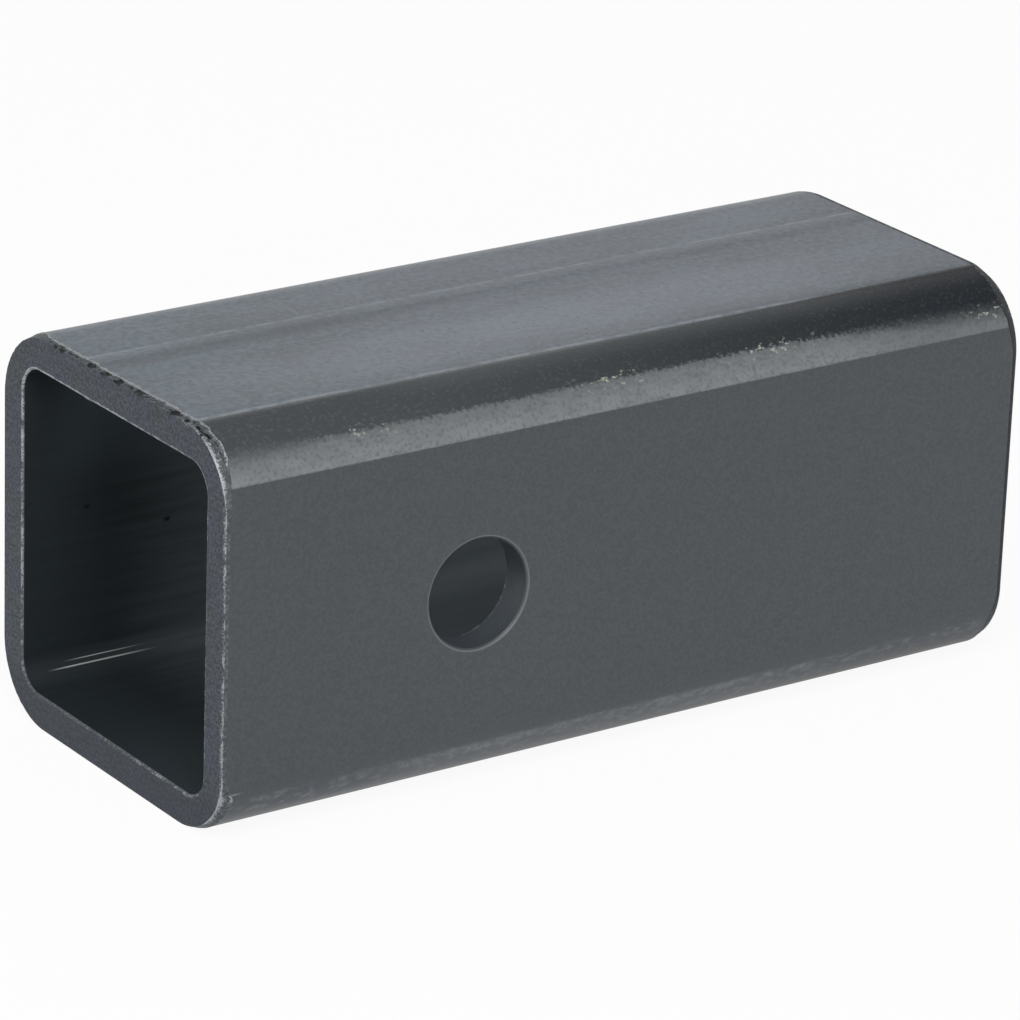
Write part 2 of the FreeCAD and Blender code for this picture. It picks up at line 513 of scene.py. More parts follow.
# Degrees round the corner and the share of the slack there
SLACK_ROUND = np.array((
    (-9.8, 0.0), (-4.9, 0.09), (0.0, 0.37), (2.5, 0.6), (5.0, 0.79), (7.5, 0.91),
    (10.0, 0.97), (15.0, 1.0), (23.0, 0.7), (38.0, 0.35), (65.0, 0.0),
))
SKIN_DEPTH = 1.5
tube = np.array(points)
past_y, past_z = -tube[:, 1] - CORNER_CENTRE, tube[:, 2] - CORNER_CENTRE
turned = np.arctan2(np.maximum(past_y, 0), np.maximum(past_z, 0))
degrees_round = np.degrees(turned + np.minimum(past_y, 0) / CORNER_RADIUS)
on_skin = np.hypot(np.maximum(past_y, 0), np.maximum(past_z, 0)) > CORNER_RADIUS - SKIN_DEPTH
push = SLACK * on_skin * np.interp(degrees_round, *SLACK_ROUND.T) * np.interp(tube[:, 0], *SLACK_ALONG)
tube[:, 1] += push * np.sin(turned)
tube[:, 2] -= push * np.cos(turned)
print("points pushed in", int((push > 0).sum()), "by up to", round(push.max(), 3), "mm")

# %% [markdown]
# Now the lists become one closed mesh. The bare-metal and pit numbers go in as point attributes, which
# the finishes read. A closed mesh has two faces at every edge, and the count below proves it.

# %% One closed mesh
SHARP_ANGLE = math.radians(38)


def add_object(name, data):
    """A new object, put into the scene."""
    added = bpy.data.objects.new(name, data)
    bpy.context.scene.collection.objects.link(added)
    return added


sleeve_mesh = bpy.data.meshes.new("sleeve_tube")
sleeve_mesh.from_pydata((tube * MM).tolist(), [], faces)
sleeve_mesh.polygons.foreach_set("material_index", face_finish)
for name, values in (("bare_metal", bare_metal), ("torn_pit", torn_pit)):
    sleeve_mesh.attributes.new(name, "FLOAT", "POINT").data.foreach_set("value", values)
builder = bmesh.new()
builder.from_mesh(sleeve_mesh)
bmesh.ops.recalc_face_normals(builder, faces=builder.faces)
open_edges = sum(len(edge.link_faces) != 2 for edge in builder.edges)
volume = builder.calc_volume() / MM ** 3
triangles = sum(len(face.verts) - 2 for face in builder.faces)
builder.to_mesh(sleeve_mesh)
builder.free()
sleeve_mesh.shade_smooth()
sleeve_mesh.set_sharp_from_angle(angle=SHARP_ANGLE)
sleeve = add_object("sleeve_tube", sleeve_mesh)
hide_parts("reducer_sleeve")
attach(sleeve, "root")
print("open edges", open_edges, "triangles", triangles, "volume mm3", round(volume, 1))

# %% [markdown]
# A finish is a small web of shader nodes. The helper below makes the few kinds used here, takes plain
# numbers or other nodes' outputs alike, and gives places in millimetres on the sleeve itself, so that
# a streak or a worn edge stays where it is from every side.

# %% A helper for finishes
NEAR_CORE = 0.3


class Finish:
    """A material in the making."""

    def __init__(self, name, specular=0.5):
        self.material = bpy.data.materials.new(name)
        self.material.use_nodes = True
        self.tree = self.material.node_tree
        self.shader = self.tree.nodes["Principled BSDF"]
        self.shader.inputs["Specular IOR Level"].default_value = specular
        place = self.tree.nodes.new("ShaderNodeTexCoord")
        in_mm = self.node("ShaderNodeVectorMath", "SCALE", place.outputs["Object"])
        in_mm.inputs["Scale"].default_value = 1 / MM
        self.place = in_mm.outputs["Vector"]
        self.x, self.y, self.z = self.node("ShaderNodeSeparateXYZ", None, self.place).outputs

    def node(self, kind, operation, *values):
        """A node with its first inputs set to plain values or linked to other nodes' outputs."""
        node = self.tree.nodes.new(kind)
        if operation:
            node.operation = operation
        for socket, value in zip(node.inputs, values):
            if isinstance(value, bpy.types.NodeSocket):
                self.tree.links.new(value, socket)
            else:
                socket.default_value = value
        return node

    def math(self, operation, *values):
        return self.node("ShaderNodeMath", operation, *values).outputs["Value"]

    def times(self, product, *values):
        """All the values multiplied."""
        for value in values:
            product = self.math("MULTIPLY", product, value)
        return product

    def add_share(self, value, share, base):
        """A share of the value, on top of a base."""
        return self.math("MULTIPLY_ADD", value, share, base)

    def ease(self, value, start, end):
        """Goes smoothly from 0 to 1 as the value goes from start to end."""
        node = self.node("ShaderNodeMapRange", None, value, start, end, 0.0, 1.0)
        node.interpolation_type = "SMOOTHSTEP"
        return node.outputs["Result"]

    def near(self, value, centre, width):
        """Goes smoothly from 1 about the centre to 0 at that width to either side."""
        distance = self.math("ABSOLUTE", self.math("SUBTRACT", value, centre))
        return self.ease(distance, width, NEAR_CORE * width)

    def grain(self, size, detail=2.0, stretch=(1.0, 1.0, 1.0), shift=0.0):
        """Noise from 0 to 1 with grains of that size, drawn out along an axis if asked."""
        shrink = [1 / (size * s) for s in stretch]
        scaled = self.node("ShaderNodeVectorMath", "MULTIPLY", self.place, shrink)
        moved = self.node("ShaderNodeVectorMath", "ADD", scaled.outputs["Vector"], (shift, shift, shift))
        node = self.node("ShaderNodeTexNoise", None, moved.outputs["Vector"])
        node.inputs["Scale"].default_value = 1.0
        node.inputs["Detail"].default_value = detail
        return node.outputs["Fac"]

    def blend(self, share, a, b):
        """Colour a where the share is 0 and colour b where it is 1."""
        node = self.tree.nodes.new("ShaderNodeMix")
        node.data_type = "RGBA"
        self.tree.links.new(share, node.inputs["Factor"])
        for socket, colour in ((node.inputs[6], a), (node.inputs[7], b)):
            if isinstance(colour, bpy.types.NodeSocket):
                self.tree.links.new(colour, socket)
            else:
                socket.default_value = (*colour, 1.0)
        return node.outputs[2]

    def vary(self, share, colour, spread):
        """One colour, from darker to lighter by that spread as the share goes from 0 to 1."""
        return self.blend(share, [c * (1 - spread) for c in colour], [c * (1 + spread) for c in colour])

    def level(self, share, a, b):
        """Number a where the share is 0 and number b where it is 1."""
        return self.node("ShaderNodeMapRange", None, share, 0.0, 1.0, a, b).outputs["Result"]

    def marked(self, name):
        """A point attribute of the mesh."""
        node = self.tree.nodes.new("ShaderNodeAttribute")
        node.attribute_name = name
        return node.outputs["Fac"]

    def bump(self, height, depth):
        """Lets a height from 0 to 1 stand out by that depth in millimetres."""
        node = self.tree.nodes.new("ShaderNodeBump")
        node.inputs["Distance"].default_value = depth * MM
        self.tree.links.new(height, node.inputs["Height"])
        self.tree.links.new(node.outputs["Normal"], self.shader.inputs["Normal"])


print("tools of a finish", [tool for tool in vars(Finish) if not tool.startswith("_")])

# %% [markdown]
# Every finish ends the same way: pits, the groove and the crack get a near-black painted shade, and bare
# steel shows where the coating has gone. The bare-metal number says how much of the film has gone, and
# fine noise decides which grains of it, so a worn edge looks broken and not painted on.

# %% Wear
STEEL = (0.35, 0.37, 0.39)
STEEL_ROUGHNESS = 0.55
STEEL_METALLIC = 0.5
# Painted shade for the pits, the groove and the crack
PIT_SHADE = (0.008, 0.009, 0.011)
LEAST_HOLD = 0.25
FILM_ROUGHNESS = 0.5


def wear(finish, colour, roughness=FILM_ROUGHNESS):
    """Puts a painted shade in the pits and bare steel over a coating, sets the shader and returns the
    material.
    """
    patches = finish.add_share(finish.grain(1.6, 2.0, shift=8.0), 1.2, -0.9)
    hold = finish.add_share(finish.grain(0.32, 2.0, shift=31.0), 1.6, patches)
    hold = finish.math("MAXIMUM", hold, LEAST_HOLD)
    bare = finish.ease(finish.math("SUBTRACT", finish.marked("bare_metal"), hold), -0.24, 0.24)
    torn = finish.ease(finish.grain(0.7, 3.0, (1.0, 1.6, 1.0), 12.0), 0.32, 0.68)
    torn = finish.times(finish.marked("torn_pit"), finish.level(torn, 0.45, 1.55))
    pit = finish.ease(torn, 0.5, 0.85)
    bare = finish.times(bare, finish.math("SUBTRACT", 1.0, pit))
    # Pits, the groove and the crack get the painted shade
    colour = finish.blend(bare, finish.blend(pit, colour, PIT_SHADE), STEEL)
    link = finish.tree.links.new
    link(colour, finish.shader.inputs["Base Color"])
    link(finish.level(bare, roughness, STEEL_ROUGHNESS), finish.shader.inputs["Roughness"])
    link(finish.times(bare, STEEL_METALLIC), finish.shader.inputs["Metallic"])
    print(finish.material.name, "has", len(finish.tree.nodes), "nodes")
    return finish.material


print("bare steel", STEEL, "pits", PIT_SHADE)

# %% [markdown]
# The coating is a thin dark grey satin film over rolled steel. The upper and lower flats show the rolled
# steel through it: faint streaks along the tube, clouds, a fine mottle and dark specks. The film is bluer
# towards the near end, and a painted sheen makes it paler along the middle of the near half. A thin
# broken painted highlight and a soft painted shade follow the two edges of the planed weld, and a painted
# highlight, the gleam, follows the border to the near corner. A place here is a centre and a width, and
# ends are where a change starts and where it is complete.

# %% The coating on the flats
FLAT_COAT = (0.072, 0.090, 0.112)
FLAT_COAT_NEAR = (0.070, 0.097, 0.120)
# Painted sheen, paler along the middle of the near half
FLAT_SHEEN = (0.124, 0.144, 0.174)
FLAT_SPECK = (0.024, 0.034, 0.046)
# Painted highlight along the border of the flat towards the near corner
GLEAM = (0.195, 0.217, 0.245)
# Painted highlight and painted shade for the two edges of the weld's crown
SEAM_HIGHLIGHT = [2.2 * c for c in FLAT_COAT]
SEAM_SHADE = [0.4 * c for c in FLAT_COAT]
FLAT_SPREAD, SHEEN_SPREAD = 0.36, 0.16
BLUE_ENDS = (20.0, -35.0)
SHEEN_NEAR_HALF, SHEEN_FAR_HALF, SHEEN_ALONG = (-10.0, 11.0), (16.0, 7.0), (28.0, 85.0)
SEAM_LINE, SEAM_SHADOW, SEAM_SHADOW_ENDS = (9.7, 0.5), (5.0, 3.0), (45.0, 5.0)
GLEAM_PLACE, GLEAM_ENDS = (0.5, 3.2), (74.0, 58.0)


def flat_colour(finish, place, streak, this_side):
    """Rolled flat: streaks, clouds, specks, a painted sheen, a painted highlight and shade along the weld,
    and a painted gleam along the border.
    """
    cloud = finish.grain(15.0, 3.0, (2.2, 1.0, 1.0), 4.0)
    mottle = finish.grain(1.1, 4.0, shift=2.0)
    shade = finish.add_share(streak, 0.7, finish.times(cloud, 0.7))
    shade = finish.ease(finish.add_share(mottle, 1.1, shade), 0.95, 1.55)
    coat = finish.vary(shade, FLAT_COAT, FLAT_SPREAD)
    coat_near = finish.vary(shade, FLAT_COAT_NEAR, FLAT_SPREAD)
    colour = finish.blend(finish.ease(finish.x, *BLUE_ENDS), coat, coat_near)
    # Painted sheen along the middle of the near half
    pale = finish.level(finish.near(finish.y, *SHEEN_NEAR_HALF), 0.20, 0.95)
    pale = finish.add_share(finish.near(finish.y, *SHEEN_FAR_HALF), 0.22, pale)
    pale = finish.times(finish.near(finish.x, *SHEEN_ALONG), pale)
    colour = finish.blend(pale, colour, finish.vary(shade, FLAT_SHEEN, SHEEN_SPREAD))
    above = finish.ease(finish.z, 0.0, 10.0)
    broken = finish.ease(finish.grain(2.5, 3.0, shift=7.0), 0.36, 0.58)
    # Painted highlight along the far edge of the weld's crown
    highlight_line = finish.times(finish.near(finish.y, *SEAM_LINE), above, broken, 0.7)
    colour = finish.blend(highlight_line, colour, SEAM_HIGHLIGHT)
    # Painted shade along the near edge of the weld's crown
    shadow = finish.times(finish.near(finish.y, *SEAM_SHADOW), finish.ease(finish.x, *SEAM_SHADOW_ENDS))
    colour = finish.blend(finish.times(shadow, above, 0.25), colour, SEAM_SHADE)
    # Painted gleam: a highlight along the border to the near corner
    gleam = finish.times(finish.near(place, *GLEAM_PLACE), this_side, finish.ease(finish.x, *GLEAM_ENDS))
    colour = finish.blend(finish.times(gleam, finish.level(broken, 0.25, 0.85)), colour, GLEAM)
    speck = finish.ease(finish.grain(0.6, 2.0, (1.6, 1.0, 1.0), 9.0), 0.64, 0.72)
    return finish.blend(speck, colour, FLAT_SPECK)


print("flat", FLAT_COAT, "near end", FLAT_COAT_NEAR, "pale", FLAT_SHEEN)

# %% [markdown]
# The corners carry two bands. Next to the upper and lower flats the film is smooth and mirrors the dim
# ceiling, and a painted shade makes it darker still. Next to the sides it is scuffed pale, partly wear and
# partly a painted reflection of the bright walls. How far a point lies round the corner, in degrees, tells
# these bands apart: below 0 on an upper or lower flat, 0 to 90 round the corner and 90 on a side. By
# taking the size of y and z without their sign, one rule serves all four corners.

# %% Degrees round the corner


def round_corner(finish):
    """Degrees round the corner."""
    past_y = finish.math("SUBTRACT", finish.math("ABSOLUTE", finish.y), CORNER_CENTRE)
    past_z = finish.math("SUBTRACT", finish.math("ABSOLUTE", finish.z), CORNER_CENTRE)
    turn = finish.math("ARCTAN2", finish.math("MAXIMUM", past_y, 0.0), finish.math("MAXIMUM", past_z, 0.0))
    on_flat = finish.times(finish.math("MINIMUM", past_y, 0.0), math.degrees(1 / CORNER_RADIUS))
    return finish.math("ADD", finish.times(turn, math.degrees(1)), on_flat)


print("a degree round the corner is", round(math.radians(CORNER_RADIUS), 3), "mm")

# %% [markdown]
# The painted shade of the dark band deepens towards the far end, with a little dust in it, and the band is
# painted paler along its edge by the flat.
# The scuffed band, partly wear and partly a painted reflection, is smeared and gritty, and painted shade
# darkens it towards the far end. The lower corners are patchier than the upper ones and rubbed along the
# middle of the tube. On the upper corners pale flecks gather on the border between the bands, in the few
# places that the table names.

# %% The coating on the corners
# Painted shade on the corners next to the flats, at the near end and at the far end
CORNER_SHADE_NEAR = (0.053, 0.060, 0.064)
CORNER_SHADE_FAR = (0.011, 0.014, 0.018)
# Scuffed pale band: partly wear, partly a painted reflection of the bright walls
SCUFF_AND_SHEEN_START = (0.136, 0.147, 0.153)
SCUFF_AND_SHEEN_END = (0.171, 0.186, 0.193)
SCUFF_BELOW = (0.040, 0.050, 0.064)
DUST = [0.87 * c for c in SCUFF_AND_SHEEN_START]
FLECK = (0.34, 0.35, 0.30)
FLECKS = ((-18.0, 6.0), (25.0, 9.0), (55.0, 13.0), (97.0, 6.0))
FLECK_BORDER, LOWER_LINE = (47.0, 9.0), (66.0, 6.0)


def dark_band(finish, place, grit):
    """The dark band of a corner: a painted shade, deeper towards the far end and paler by the flat."""
    # Painted shade, deepening towards the far end
    dark = finish.blend(finish.ease(finish.x, -30.0, 105.0), CORNER_SHADE_NEAR, CORNER_SHADE_FAR)
    # Painted paler edge along the flat
    by_flat = finish.times(finish.ease(place, 32.0, 8.0), finish.ease(finish.x, -20.0, 0.0))
    fading = finish.level(finish.ease(finish.x, 60.0, 95.0), 0.23, 0.08)
    by_flat = finish.times(by_flat, finish.ease(place, 3.0, 9.0), fading)
    dark = finish.blend(by_flat, dark, SCUFF_AND_SHEEN_START)
    dusty = finish.level(finish.ease(finish.x, -35.0, 45.0), 0.42, 0.18)
    return finish.blend(finish.times(finish.ease(grit, 0.50, 0.72), dusty), dark, DUST)


def scuff_and_sheen_band(finish, place, grit, below):
    """The scuffed band of a corner: partly wear, partly a painted reflection."""
    scuff_and_sheen = finish.blend(finish.ease(place, 46.0, 67.0), SCUFF_AND_SHEEN_START, SCUFF_AND_SHEEN_END)
    # Painted shade on the scuffed band towards the far end
    scuff_and_sheen = finish.blend(finish.times(finish.ease(finish.x, 60.0, 86.0), 0.4), scuff_and_sheen, CORNER_SHADE_NEAR)
    middle = finish.times(finish.ease(finish.x, -25.0, -8.0), finish.ease(finish.x, 80.0, 40.0))
    patchy = finish.ease(finish.grain(1.2, 6.0, (1.6, 1.0, 1.0)), 0.85, 0.40)
    patchy = finish.times(patchy, finish.level(middle, 1.05, 0.75), below)
    scuff_and_sheen = finish.blend(patchy, scuff_and_sheen, SCUFF_BELOW)
    rubbed = finish.ease(finish.grain(0.8, 4.0, (2.0, 1.0, 1.0), 27.0), 0.40, 0.65)
    rubbed = finish.times(rubbed, middle, below, finish.near(place, *LOWER_LINE), 0.7)
    scuff_and_sheen = finish.blend(rubbed, scuff_and_sheen, SCUFF_AND_SHEEN_START)
    smear = finish.ease(finish.grain(1.5, 3.0, (2.0, 1.0, 1.0), 19.0), 0.62, 0.38)
    smear = finish.add_share(finish.ease(grit, 0.55, 0.3), 0.42, finish.times(smear, 0.16))
    return finish.blend(smear, scuff_and_sheen, CORNER_SHADE_NEAR)


def corner_colour(finish, place, ragged, on_scuff_and_sheen, below):
    """Both bands of a corner, with their painted shade and painted reflection, and the flecks between
    them.
    """
    grit = finish.grain(0.6, 4.0, shift=3.0)
    dark = dark_band(finish, place, grit)
    colour = finish.blend(on_scuff_and_sheen, dark, scuff_and_sheen_band(finish, place, grit, below))
    cluster = finish.near(finish.x, *FLECKS[0])
    for flecks in FLECKS[1:]:
        cluster = finish.math("ADD", cluster, finish.near(finish.x, *flecks))
    cluster = finish.times(cluster, finish.ease(finish.z, 0.0, 10.0), finish.near(ragged, *FLECK_BORDER))
    fleck = finish.ease(finish.grain(0.7, 2.0, (1.6, 1.0, 1.0), 21.0), 0.58, 0.69)
    return finish.blend(finish.times(cluster, fleck), colour, FLECK)


print("dark", CORNER_SHADE_NEAR, "scuffed", SCUFF_AND_SHEEN_START, "places with flecks", len(FLECKS))

# %% [markdown]
# The sides have an even coat with only a fine grain. The rim of the pin hole was brushed after drilling,
# and that has left a thin scuffed ring round it.

# %% The coating on the sides
SIDE_COAT = (0.044, 0.051, 0.056)
SIDE_SPREAD = 0.15
SCUFFED_RIM = (0.115, 0.125, 0.131)
RING_WIDTH = 0.2


def side_colour(finish):
    """An even coat, with a scuffed ring round the pin hole."""
    even = finish.ease(finish.grain(0.45, 4.0, shift=15.0), 0.3, 0.7)
    z_squared = finish.times(finish.z, finish.z)
    from_hole = finish.math("SQRT", finish.add_share(finish.x, finish.x, z_squared))
    ring = finish.near(from_hole, HOLE_RADIUS + RIM_BREAK, RING_WIDTH)
    return finish.blend(ring, finish.vary(even, SIDE_COAT, SIDE_SPREAD), SCUFFED_RIM)


print("side", SIDE_COAT, "ring round the hole", SCUFFED_RIM)

# %% [markdown]
# The whole coating is flat, corner and side, laid over each other by the degrees round the corner. Noise
# makes the border between the painted shade of the dark band and the scuffed band ragged, and towards
# both ends that border is soft. On this side the painted shade starts sooner towards the far end, and on
# the side turned away it starts later. A short scratch runs along the near lower corner from the nick. The
# dark band of the upper corners is the smoothest part, and so it mirrors most.

# %% The whole coating
CORNER_STARTS, SCUFF_AND_SHEEN_STARTS, SIDE_STARTS = 3.6, 45.5, 69.5
LATER_TURNED_AWAY, SOONER_AT_FAR_END = 14.0, 6.0
SCUFF_AND_SHEEN_LATER_AT_FAR_END = 7.0
SCRATCH_HEIGHT, SCRATCH_ENDS = (-23.3, 0.22), (-40.4, -42.6)
COAT_RELIEF = 0.012


def on_bands(finish, place, jitter, ragged, below, this_side, to_far_end):
    """How far a point lies on the corner, on its scuffed band and on the side."""
    sooner = finish.level(to_far_end, LATER_TURNED_AWAY, LATER_TURNED_AWAY + SOONER_AT_FAR_END)
    upper_edge = finish.math("ADD", place, finish.times(this_side, sooner))
    upper_edge = finish.math("SUBTRACT", finish.add_share(jitter, 0.12, upper_edge), LATER_TURNED_AWAY)
    on_corner = finish.ease(upper_edge, CORNER_STARTS - 0.5, CORNER_STARTS + 0.5)
    soft = finish.math("ADD", finish.ease(finish.x, -20.0, -40.0), finish.ease(finish.x, 62.0, 90.0))
    starts = finish.level(soft, SCUFF_AND_SHEEN_STARTS - 2.5, SCUFF_AND_SHEEN_STARTS - 9.0)
    complete = finish.level(soft, SCUFF_AND_SHEEN_STARTS + 3.0, SCUFF_AND_SHEEN_STARTS + 13.0)
    on_scuff_and_sheen = finish.ease(ragged, starts, complete)
    past_border = finish.math("SUBTRACT", finish.add_share(jitter, 0.1, place), SIDE_STARTS)
    on_side = finish.ease(finish.times(past_border, finish.level(below, 1.0, 0.3)), -0.8, 0.8)
    return on_corner, on_scuff_and_sheen, on_side


def coated_finish():
    finish = Finish("satin_coat")
    place = round_corner(finish)
    jitter = finish.add_share(finish.grain(0.6, 5.0), 12.0, -6.0)
    below = finish.ease(finish.z, 0.0, -10.0)
    this_side = finish.ease(finish.y, 5.0, 0.0)
    to_far_end = finish.ease(finish.x, 50.0, 105.0)
    ragged = finish.math("ADD", finish.add_share(to_far_end, -SCUFF_AND_SHEEN_LATER_AT_FAR_END, place), jitter)
    on_corner, on_scuff_and_sheen, on_side = on_bands(finish, place, jitter, ragged, below, this_side, to_far_end)
    streak = finish.grain(1.1, 3.0, (24.0, 1.0, 1.0))
    scratch = finish.times(finish.near(finish.z, *SCRATCH_HEIGHT), finish.ease(finish.x, *SCRATCH_ENDS))
    scratch = finish.times(scratch, finish.ease(finish.y, 0.0, -5.0))
    corner = finish.blend(scratch, corner_colour(finish, place, ragged, on_scuff_and_sheen, below), SCUFF_AND_SHEEN_END)
    side = finish.blend(scratch, side_colour(finish), SCUFF_AND_SHEEN_END)
    colour = finish.blend(on_corner, flat_colour(finish, place, streak, this_side), corner)
    colour = finish.blend(on_side, colour, side)
    rough = finish.level(on_corner, finish.level(streak, 0.28, 0.44), finish.level(below, 0.17, 0.45))
    rough = finish.level(on_side, finish.level(on_scuff_and_sheen, rough, 0.50), 0.48)
    finish.bump(finish.add_share(streak, 0.6, finish.grain(0.4, 3.0)), COAT_RELIEF)
    return wear(finish, colour, rough)


sleeve_mesh.materials.append(coated_finish())

# %% [markdown]
# The belt has left the bevels bright along their borders, with scuffed coating in the low places. The
# sawn faces were coated with the rest and are rough and a little mottled, with the faint lines of the
# saw, and darker at the foot. Their rough film shines less, so its specular level is lower.

# %% The ends
DRESSED_LOW = (0.058, 0.064, 0.069)
DRESSED_HIGH = (0.125, 0.140, 0.152)
DRESSED_FAR = (0.022, 0.024, 0.026)
SAWN_COAT = (0.045, 0.053, 0.061)
SAWN_BLUE = (0.044, 0.051, 0.068)
SAWN_FOOT = (0.012, 0.019, 0.030)
SAWN_SPREAD = 0.5
SAWN_ROUGHNESS = 0.55


def dressed_finish():
    finish = Finish("dressed_edge", specular=0.12)
    grit = finish.grain(0.6, 4.0)
    finish.bump(grit, 0.015)
    colour = finish.blend(finish.ease(grit, 0.35, 0.75), DRESSED_LOW, DRESSED_HIGH)
    colour = finish.blend(finish.times(finish.ease(finish.x, 0.0, 60.0), 0.85), colour, DRESSED_FAR)
    return wear(finish, colour)


def sawn_finish():
    finish = Finish("sawn_end", specular=0.25)
    saw = finish.grain(0.4, 2.0, (1.0, 12.0, 1.0))
    grit = finish.grain(0.5, 4.0, shift=6.0)
    cloud = finish.ease(finish.grain(5.0, 3.0, shift=16.0), 0.38, 0.62)
    shade = finish.ease(finish.add_share(saw, 0.3, grit), 0.45, 0.85)
    blue = finish.vary(shade, SAWN_BLUE, SAWN_SPREAD)
    colour = finish.blend(cloud, finish.vary(shade, SAWN_COAT, SAWN_SPREAD), blue)
    foot = finish.times(finish.ease(finish.z, -20.0, -28.0), 0.45)
    colour = finish.blend(foot, colour, SAWN_FOOT)
    chip = finish.ease(finish.grain(0.8, 2.0, shift=51.0), 0.74, 0.80)
    colour = finish.blend(chip, colour, DRESSED_HIGH)
    finish.bump(finish.math("ADD", saw, finish.grain(0.4, 3.0)), 0.02)
    return wear(finish, colour, SAWN_ROUGHNESS)


sleeve_mesh.materials.append(dressed_finish())
sleeve_mesh.materials.append(sawn_finish())

# %% [markdown]
# The coating was sprayed, and a spray reaches only so far into a tube: near the ends the bore is as good
# as black, and in the middle it stays bare grey steel. That is why the bore looks black from the end,
# yet grey through the pin hole. Two bright lines in a lower corner are painted glints, where the rounded
# inner corner mirrors light, and two specks of scale have come off the wall. The upper part of the bore,
# and its foot towards the near side, are painted lighter: painted light falling into the tube.

# %% The bore
BORE_COAT = (0.013, 0.018, 0.021)
# Painted light for the upper bore and for its foot towards the near side
BORE_PAINTED_LIGHT_UPPER, BORE_PAINTED_LIGHT_LOWER = [3.2 * c for c in BORE_COAT], [1.6 * c for c in BORE_COAT]
BARE_BORE = (0.320, 0.360, 0.390)
# Painted glint for the rounded inner corner
PAINTED_GLINT = (0.40, 0.41, 0.41)
SCALE_SPECK = (0.002, 0.002, 0.002)
# Height, width and both ends along the tube
PAINTED_GLINTS = ((-24.6, 0.13, -41.0, -20.0), (-23.8, 0.09, -38.0, -22.0))
FADE_IN, FADE_OUT = 5.0, 8.0
# Place along the tube and height
SPECKS = ((-33.1, 0.8), (-18.7, -4.0))
SPECK_LONG, SPECK_HIGH = 0.8, 0.5


def bore_finish():
    finish = Finish("bore_coat", specular=0.4)
    streak = finish.grain(1.2, 3.0, (16.0, 1.0, 1.0))
    edge = finish.add_share(streak, 5.0, finish.x)
    bare = finish.times(finish.ease(edge, -28.0, 26.0), finish.ease(edge, 92.0, 58.0))
    # Painted light: lighter higher up, and at the foot towards the near side
    upper = finish.times(finish.ease(finish.z, 2.0, 18.0), finish.ease(finish.x, -42.0, -32.0))
    lower = finish.times(finish.ease(finish.z, -22.0, -26.0), finish.ease(finish.y, 15.0, -15.0))
    colour = finish.blend(upper, finish.vary(streak, BORE_COAT, 0.3), BORE_PAINTED_LIGHT_UPPER)
    colour = finish.blend(lower, colour, BORE_PAINTED_LIGHT_LOWER)
    colour = finish.blend(bare, colour, finish.vary(streak, BARE_BORE, 0.15))
    far_side = finish.ease(finish.y, 0.0, 5.0)
    # Painted glints along a lower inner corner
    for z, width, start, end in PAINTED_GLINTS:
        highlight_line = finish.times(finish.near(finish.z, z, width), far_side)
        highlight_line = finish.times(highlight_line, finish.ease(finish.x, start, start + FADE_IN))
        highlight_line = finish.times(highlight_line, finish.ease(finish.x, end, end - FADE_OUT), 0.8)
        colour = finish.blend(highlight_line, colour, PAINTED_GLINT)
    for x, z in SPECKS:
        spot = finish.times(finish.near(finish.x, x, SPECK_LONG), finish.near(finish.z, z, SPECK_HIGH))
        colour = finish.blend(finish.times(spot, far_side), colour, SCALE_SPECK)
    finish.bump(streak, 0.02)
    return wear(finish, colour)


sleeve_mesh.materials.append(bore_finish())

# %% [markdown]
# The wall of the pin hole was coated too, over the fine rings that the drill has left. Its outer rim is
# scuffed like the ring on the side. With that the sleeve has all its finishes, and they lie in its
# material slots in the order of the finish numbers from the start.

# %% The drilled wall
DRILLED_COAT = (0.046, 0.054, 0.062)
DRILLED_SPREAD = 0.25
RIM_STARTS, RIM_COMPLETE = HALF_WIDTH - 0.20, HALF_WIDTH - 0.08


def drilled_finish():
    finish = Finish("drilled_wall")
    rings = finish.grain(0.5, 2.0, (20.0, 1.0, 20.0))
    finish.bump(rings, 0.03)
    rim = finish.ease(finish.math("ABSOLUTE", finish.y), RIM_STARTS, RIM_COMPLETE)
    colour = finish.blend(rim, finish.vary(rings, DRILLED_COAT, DRILLED_SPREAD), SCUFFED_RIM)
    return wear(finish, colour)


sleeve_mesh.materials.append(drilled_finish())
print("finishes", [material.name for material in sleeve_mesh.materials])

# %% [markdown]
# The sleeve lies on a pale floor in a plain bright studio. The camera and mirror rays see the floor
# lifted most of the way to white, and the rest of it still takes the shadow.

# %% Floor
FLOOR_HALF = 3.0
FLOOR_COLOUR = (0.86, 0.86, 0.86, 1)
FLOOR_ROUGHNESS = 0.9
LIFT_TO_WHITE = 0.93


def floor_finish():
    finish = Finish("pale_floor", specular=0.0)
    finish.shader.inputs["Base Color"].default_value = FLOOR_COLOUR
    finish.shader.inputs["Roughness"].default_value = FLOOR_ROUGHNESS
    rays = finish.tree.nodes.new("ShaderNodeLightPath").outputs
    seen = rays["Is Camera Ray"]
    for ray in ("Is Glossy Ray", "Is Transmission Ray"):
        seen = finish.math("MAXIMUM", seen, rays[ray])
    lift = finish.times(seen, LIFT_TO_WHITE)
    white = finish.tree.nodes.new("ShaderNodeEmission").outputs[0]
    mix = finish.node("ShaderNodeMixShader", None, lift, finish.shader.outputs[0], white)
    finish.tree.links.new(mix.outputs[0], finish.tree.nodes["Material Output"].inputs["Surface"])
    return finish.material


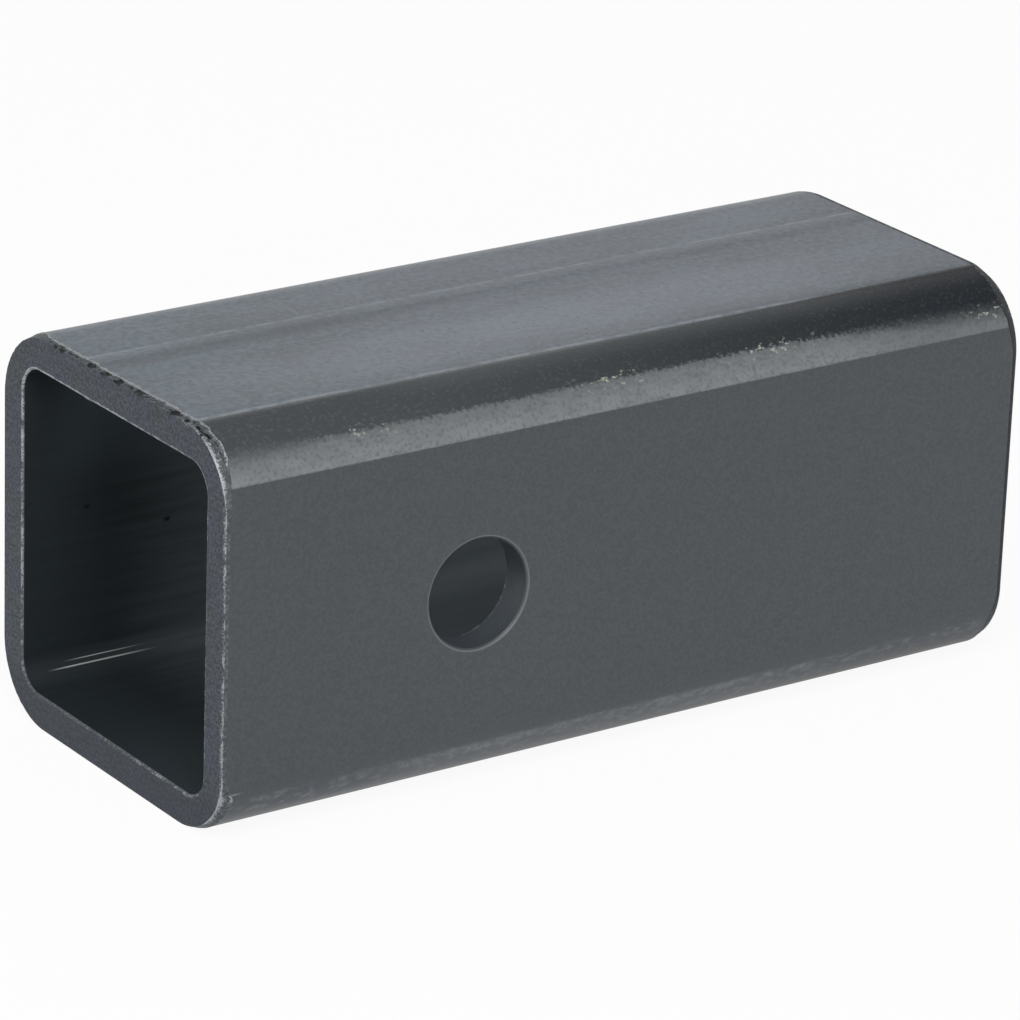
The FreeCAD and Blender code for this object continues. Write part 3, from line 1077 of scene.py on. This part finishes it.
floor_mesh = bpy.data.meshes.new("floor")
floor_corners = [(x * FLOOR_HALF, y * FLOOR_HALF) for x, y in ((-1, -1), (1, -1), (1, 1), (-1, 1))]
floor_mesh.from_pydata([(x, y, node_low.z) for x, y in floor_corners], [], [(0, 1, 2, 3)])
floor_mesh.materials.append(floor_finish())
floor = add_object("floor", floor_mesh)
print("floor at", round(node_low.z / MM, 3))

# %% [markdown]
# The studio has white walls all round and a dim ceiling. The upper flat mirrors a far wall at a low
# angle and looks pale, and the corner below it mirrors the dim ceiling and looks dark. A world that fades
# with height gives such walls from every side, so no wall can get in the way of the camera.

# %% Studio
WALL_LIGHT, CEILING_LIGHT = 0.95, 0.22
WALL_TOP, CEILING_STARTS = 0.455, 0.495
studio = bpy.data.worlds.new("studio")
bpy.context.scene.world = studio
studio.use_nodes = True
nodes, link = studio.node_tree.nodes, studio.node_tree.links.new
direction = nodes.new("ShaderNodeTexCoord")
height = nodes.new("ShaderNodeSeparateXYZ")
fade = nodes.new("ShaderNodeMapRange")
fade.interpolation_type = "SMOOTHSTEP"
for socket, setting in zip(list(fade.inputs)[1:5], (WALL_TOP, CEILING_STARTS, WALL_LIGHT, CEILING_LIGHT)):
    socket.default_value = setting
link(direction.outputs["Generated"], height.inputs[0])
link(height.outputs["Z"], fade.inputs[0])
link(fade.outputs[0], nodes["Background"].inputs["Strength"])
nodes["Background"].inputs["Color"].default_value = (1, 1, 1, 1)
bpy.context.scene.view_settings.view_transform = "Standard"
print("studio walls", WALL_LIGHT, "ceiling", CEILING_LIGHT)

# %% [markdown]
# One large soft lamp hangs to the left and in front. It is high enough that no flat mirrors it to the
# camera, so it lights the sides and lays a soft shadow without a hot spot.

# %% Lamp
LAMP_PLACE = Vector((-0.7, -0.9, 1.5))
LAMP_POWER = 26.0
LAMP_SIZE = 1.0
lamp = bpy.data.lights.new("soft_lamp", "AREA")
lamp.energy = LAMP_POWER
lamp.size = LAMP_SIZE
lamp_holder = add_object("soft_lamp", lamp)
lamp_holder.location = LAMP_PLACE
lamp_holder.rotation_euler = (-LAMP_PLACE).to_track_quat("-Z", "Y").to_euler()
print("lamp", round(LAMP_PLACE.length, 2), "m off,", LAMP_POWER, "W")

# %% [markdown]
# The camera stands where the photograph was taken from: a long lens, a good way off, a little to the
# left and above, with a slight roll. These values come from fitting the sleeve's outline.

# %% Camera
CAMERA_AZIMUTH, CAMERA_ELEVATION, CAMERA_ROLL = -35.442, 21.047, 2.051
CAMERA_DISTANCE = 0.87007
CAMERA_AIM = Vector((19.078, -12.129, 3.070)) * MM
CAMERA_LENS = 201.07
SENSOR_WIDTH = 36.0
azimuth, elevation = math.radians(CAMERA_AZIMUTH), math.radians(CAMERA_ELEVATION)
back = Vector((
    math.sin(azimuth) * math.cos(elevation),
    -math.cos(azimuth) * math.cos(elevation),
    math.sin(elevation),
))
right = Vector((0, 0, 1)).cross(back).normalized()
up = back.cross(right)
turn = Matrix((right, up, back)).transposed() @ Matrix.Rotation(math.radians(CAMERA_ROLL), 3, "Z")
lens = bpy.data.cameras.new("photo_camera")
lens.lens = CAMERA_LENS
lens.sensor_width = SENSOR_WIDTH
camera = add_object("photo_camera", lens)
camera.matrix_world = Matrix.LocRotScale(CAMERA_AIM + back * CAMERA_DISTANCE, turn, None)
bpy.context.scene.camera = camera
print("camera at", list(camera.location))

# %% [markdown]
